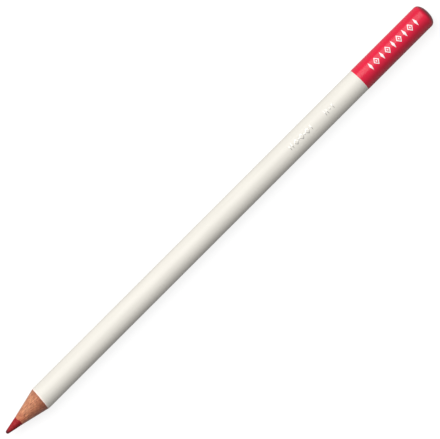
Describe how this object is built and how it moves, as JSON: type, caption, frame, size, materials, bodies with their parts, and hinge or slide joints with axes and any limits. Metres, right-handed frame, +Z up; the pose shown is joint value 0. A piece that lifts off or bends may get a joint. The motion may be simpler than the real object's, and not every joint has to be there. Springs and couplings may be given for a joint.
{
  "type": "colored pencil",
  "caption": "Round wood-cased colored pencil, sharpened to a blunt red point, with a cream lacquered barrel and a red dipped, domed end.",
  "frame": {"origin": "under the middle of the pencil's length, on the surface that it lies on", "axes": "+X along the pencil, from the point towards the dipped end; +Z up; the pencil lies on its side with its glue line level"},
  "size_m": [0.175, 0.0076, 0.0076],
  "materials": {
    "pigment_core": "satin",
    "cedar": "matte",
    "glue": "satin",
    "undercoat": "matte",
    "barrel_lacquer": "satin",
    "end_dip": "gloss"
  },
  "bodies": {
    "root": {"pigment_core": "pigment_core", "upper_slat": "cedar", "lower_slat": "cedar", "glue_line_front": "glue", "glue_line_back": "glue", "undercoat": "undercoat", "barrel_lacquer": "barrel_lacquer", "end_dip": "end_dip"}
  },
  "joints": []
}
